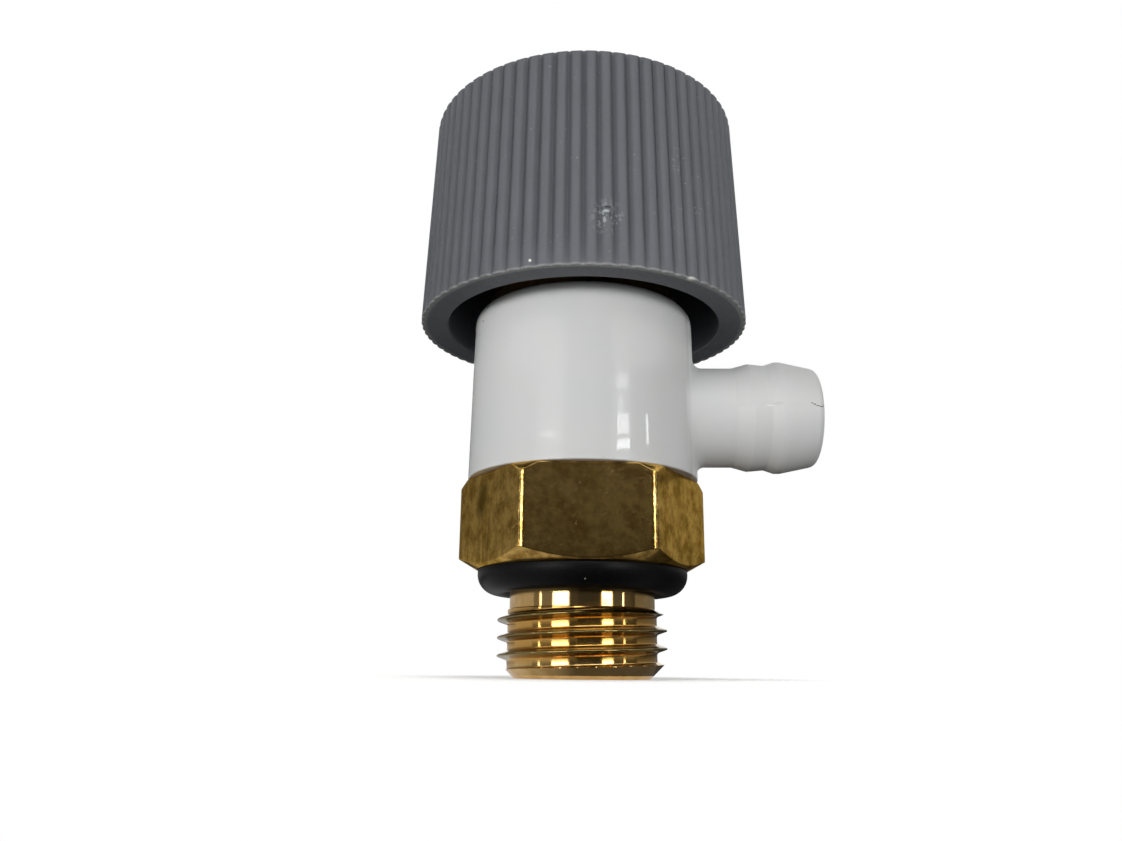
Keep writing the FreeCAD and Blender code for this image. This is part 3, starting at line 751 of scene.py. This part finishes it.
# %% [markdown]
# ### One moulding
#
# Body and tail are one piece of plastic, and the outlet runs through both. Two overlapping meshes would look alike
# from outside, but the bore would stay closed. A boolean joins the two shapes, and another one drills the outlet.

# %% Join the tail and drill it
outlet_r, drill_length, drill_x = 2.6, 16, 0.011
bpy.ops.mesh.primitive_cylinder_add(vertices=96, radius=outlet_r * MM, depth=drill_length * MM,
                                    location=(drill_x, 0, tail_z * MM), rotation=(0, math.pi / 2, 0))
combine(body, [("UNION", tail), ("DIFFERENCE", bpy.context.object)])
finish_piece(body, "valve_body", "body", "white_plastic", white_plastic)
print("body faces", len(body.data.polygons))

# %% [markdown]
# ## The knob
#
# The knob is moulded in matte grey plastic and has been used: it is scuffed and dusty, and the grooves between its
# ribs are darkened with painted shade. Such marks could be painted by hand. Here a few spots and noise place them,
# and the distance from the axis tells which part of the wall is a groove.

# %% Make the grey plastic
# Grey plastic, moulded in a blasted mould: a matte skin with a grain of 0.25 mm, pale dust, scuffs where the knob was
# knocked, a pale grainy line along the lower edge of the rim, and painted shade that darkens the grooves.
grey_plastic, tree = new_material("grey_plastic_moulded_matte")
here = place_mm(tree)
haze = add_node(tree, "TexNoise", {"Vector": here, "Scale": 0.3, "Detail": 4})
grain = add_node(tree, "TexNoise", {"Vector": here, "Scale": 4, "Detail": 4})
fleck = add_node(tree, "TexNoise", {"Vector": here, "Scale": 3.2, "Detail": 2})
layers = [(haze, "#5a5c61"), (add_node(tree, "MapRange", [fleck, 0.72, 0.76, 0, 0.25]), "#a8aaaa")]
for centre, size, least in (((1.7, -13.2, 32.0), (1.4, 1.0, 1.7), 0.53), ((8.8, -9.9, 34.5), (0.7, 0.8, 1.0), 0.58),
                            ((7.3, -11.0, 37.6), (0.9, 0.8, 1.8), 0.6)):
    patchy = add_node(tree, "MapRange", [fleck, least, least + 0.05, 0, 0.7])
    layers.append((add_node(tree, "Math", [spot(tree, centre, size, 0.9), patchy], operation="MULTIPLY"), "#94989a"))
for centre, size, colour in (((1.6, -13.3, 32.4), (0.34, 0.5, 0.14), "#95999a"),
                             ((1.9, -13.2, 32.1), (0.1, 0.5, 0.3), "#3a3b3e"),
                             ((1.75, -13.3, 32.72), (0.3, 0.5, 0.1), "#26272a"),
                             ((1.5, -13.3, 31.7), (0.14, 0.5, 0.3), "#8a8d8e"),
                             ((7.9, -10.9, 28.2), (0.5, 0.5, 0.16), "#c2c2bb"),
                             ((8.6, -10.4, 28.25), (0.16, 0.3, 0.14), "#1c1d1e"),
                             ((-3.78, -12.88, 28.7), (0.12, 0.3, 0.14), "#d2d2ce")):
    layers.append((spot(tree, centre, size), colour))
height = add_node(tree, "SeparateXYZ", [here], "Z")
# A pale line along the lower edge of the rim, broken up by the grain.
low = add_node(tree, "MapRange", [height, 28.36, 28.22])
off_axis = add_node(tree, "VectorMath", [place_mm(tree, (1, 1, 0))], "Value", operation="LENGTH")
edge = add_node(tree, "Math", [low, add_node(tree, "MapRange", [off_axis, 12.95, 13.15])], operation="MULTIPLY")
pale_rim_line = add_node(tree, "Math", [edge, add_node(tree, "MapRange", [grain, 0.35, 0.6, 0.4, 0.8])], operation="MULTIPLY")
# The wall tapers: with that added, the radius tells a groove from a rib at any height.
taper_per_mm, rib_level, groove_level = 0.0371, 14.5, 14.28
depth = add_node(tree, "Math", [height, taper_per_mm, off_axis], operation="MULTIPLY_ADD")
# Painted shade: the grooves are darkened, fading out above the rim and below the crown.
groove_shade = add_node(tree, "MapRange", [depth, rib_level, groove_level, 0, 0.5])
for start, end in ((28.2, 28.8), (46.1, 45.8)):
    groove_shade = add_node(tree, "Math", [groove_shade, add_node(tree, "MapRange", [height, start, end])], operation="MULTIPLY")
layers.insert(1, (groove_shade, "#2e3033"))
tone = layered(tree, "#505256", *layers, (pale_rim_line, "#8a8a87"))
rough = add_node(tree, "MapRange", [grain, 0.3, 0.7, 0.48, 0.62])
relief = add_node(tree, "Bump", {"Height": grain, "Strength": 0.2, "Distance": 0.00003})
surface = add_node(tree, "BsdfPrincipled", {"Base Color": tone, "Roughness": rough, "Normal": relief,
                                            "Specular IOR Level": 0.35})
add_node(tree, "OutputMaterial", {"Surface": surface})
print("made", grey_plastic.name, "with", len(layers), "marks")

# %% [markdown]
# ### Wall of the knob
#
# The wall has 72 straight ribs for grip. An Array modifier could repeat one rib round the axis, but its copies would
# have to be welded. In a stack of rings each rib pitch gets sixteen columns, most of them at the groove, where the
# surface bends. The crown's rounded edge and the tapered wall with its grooves are both radii at a height, and the
# smaller one wins, so the grooves run out neatly over the edge; towards the rim they grow shallower.

# %% Shape the knob's wall
rim_z, crown_z = 28.15, 46.2
rim_r, crown_r = 13.49, 12.82
ribs, groove_depth, rib_crown, rim_round, crown_round = 72, 0.27, 0.05, 0.1, 0.3
rim_share, rim_fade = 0.5, 1.2
rib_pitch = 2 * math.pi / ribs
shares = np.array([0, 0.05, 0.09, 0.13, 0.17, 0.21, 0.26, 0.38, 0.5, 0.62, 0.74, 0.79, 0.83, 0.87, 0.91, 0.95])
knob_angles = ((np.arange(ribs)[:, None] + shares) * rib_pitch - math.pi / 2).ravel()
off_groove = np.tile(np.minimum(shares, 1 - shares), ribs)
dip = groove_depth * (1 - ramp(off_groove, -0.02, 0.36)) + rib_crown * (0.5 - off_groove) ** 2


def wall_radius(height):
    """Ribbed wall at one height, for every column."""
    cone = rim_r + (crown_r - rim_r) * (height - rim_z) / (crown_z - rim_z)
    dent = dip * (rim_share + (1 - rim_share) * ramp(height, rim_z, rim_z + rim_fade))
    drop = max(0.0, height - (crown_z - crown_round))
    edge = crown_r - crown_round + math.sqrt(max(0.0, crown_round ** 2 - drop ** 2))
    return np.minimum(cone - dent, edge) if drop else cone - dent


rows = []
for k in range(5):
    a = math.radians(90 * k / 4)
    rows.append((wall_radius(rim_z) - rim_round * (1 - math.sin(a)), rim_z + rim_round * (1 - math.cos(a))))
rows += [(wall_radius(h), h) for h in np.linspace(rim_z + 0.4, crown_z - crown_round, 10)]
rows += [(wall_radius(h), h) for h in crown_z - crown_round * (1 - np.sin(np.radians(np.linspace(7.5, 90, 12))))]
outer = ring_rows(rows, knob_angles)
print("knob wall of", len(rows), "rows and", len(knob_angles), "columns")

# %% [markdown]
# ### Inside of the knob
#
# The knob is a hollow cup with a hub that takes the spindle's square end. Solidify could give the cup its thickness,
# but then the ribs would show inside too. A second stack needs only two columns for each rib, and the rim and the
# crown are flat faces that join the two.

# %% Turn the inside
skip = 8
cup_angles = knob_angles[::skip]
half_square, square_corner_r = 2.33, 3.03
square = half_square / np.maximum(np.abs(np.cos(cup_angles)), np.abs(np.sin(cup_angles)))
square = np.minimum(square, square_corner_r)
inner_rows = rounded([(11.45, rim_z), (11.3, rim_z, 0.12), (10.704, 44.2, 1.0), (6.2, 44.2), (6.2, 38.6, 0.2),
                      (4.0, 38.6)])
inner_rows += [(square, 38.6), (square, 42.75)]
inner_rows += rounded([(3.2, 42.75), (3.9, 42.75), (3.9, 45.0), (4.63, 45.0), (4.63, crown_z, 0.1), (4.8, crown_z)])
inner = ring_rows(inner_rows, cup_angles)
print("inside of", len(inner), "rows and", len(cup_angles), "columns")

# %% Join the wall and the inside
columns, cup_columns = len(knob_angles), len(cup_angles)
start = len(outer) * columns
faces = ring_faces(len(outer), columns)
faces += [face[::-1] for face in ring_faces(len(inner), cup_columns, start)]
for j in range(cup_columns):
    low = [(skip * j + k) % columns for k in range(skip + 1)]
    high = [(len(outer) - 1) * columns + i for i in low]
    after = (j + 1) % cup_columns
    faces.append([start + j, start + after, *low[::-1]])
    top = start + (len(inner) - 1) * cup_columns
    faces.append([top + after, top + j, *high])
knob = new_object("ribbed_knob", np.concatenate(outer + inner), faces)
print("faces of the cup", len(faces))

# %% [markdown]
# ### Webs
#
# Six thin webs tie the hub to the wall, so that the moulding is stiff without being thick. They could be drawn into
# the stack of rings, but no column lies along the sides of a web. Six stretched cubes and a boolean are plainer.

# %% Add the webs
web_count, web_r, web_z, web_size = 6, 8.4, 42.3, (5.6, 1.2, 4.4)
webs = []
for k in range(web_count):
    bpy.ops.mesh.primitive_cube_add(size=1)
    web = bpy.context.object
    turn = Matrix.Rotation(math.radians(60 * k), 4, "Z")
    reach = Matrix.Translation((web_r * MM, 0, web_z * MM))
    web.matrix_world = turn @ reach @ Matrix.Diagonal((*(s * MM for s in web_size), 1))
    webs.append(("UNION", web))
combine(knob, webs)
finish_piece(knob, "knob", "handle", "grey_plastic", grey_plastic)
knob_only.objects.link(knob)
knob_only.objects.link(frame["nodes"]["knob_cap"])
print("knob faces", len(knob.data.polygons))

# %% [markdown]
# ## Pieces that keep their solid shape
#
# The bonnet, spindle, washers, screws and inner rings sit inside, and only a raised knob shows a little of them. They
# could be built again with finer edges, but they already have the right shape, so they only get a surface.

# %% Dress the solid pieces
# Zinc-plated steel: a pale metal with clouds of white bloom about 1.5 mm across.
steel, tree = new_material("steel_zinc_plated")
bloom = add_node(tree, "TexNoise", {"Vector": place_mm(tree), "Scale": 0.7, "Detail": 5})
tone = layered(tree, "#bfc0be", (add_node(tree, "MapRange", [bloom, 0.35, 0.7]), "#a3a5a4"))
rough = add_node(tree, "MapRange", [bloom, 0.3, 0.7, 0.24, 0.4])
surface = add_node(tree, "BsdfPrincipled", {"Base Color": tone, "Metallic": 1, "Roughness": rough})
add_node(tree, "OutputMaterial", {"Surface": surface})
dress = {"brass": brass_inner_painted_dark, "rubber": rubber, "steel": steel, "white_plastic": white_plastic,
         "grey_plastic": grey_plastic}
for row in frame["record"]["subparts"]:
    node = frame["nodes"][row["node"]]
    for place in node.material_slots:
        place.link = "OBJECT"
        place.material = dress[row["material_slot"]]
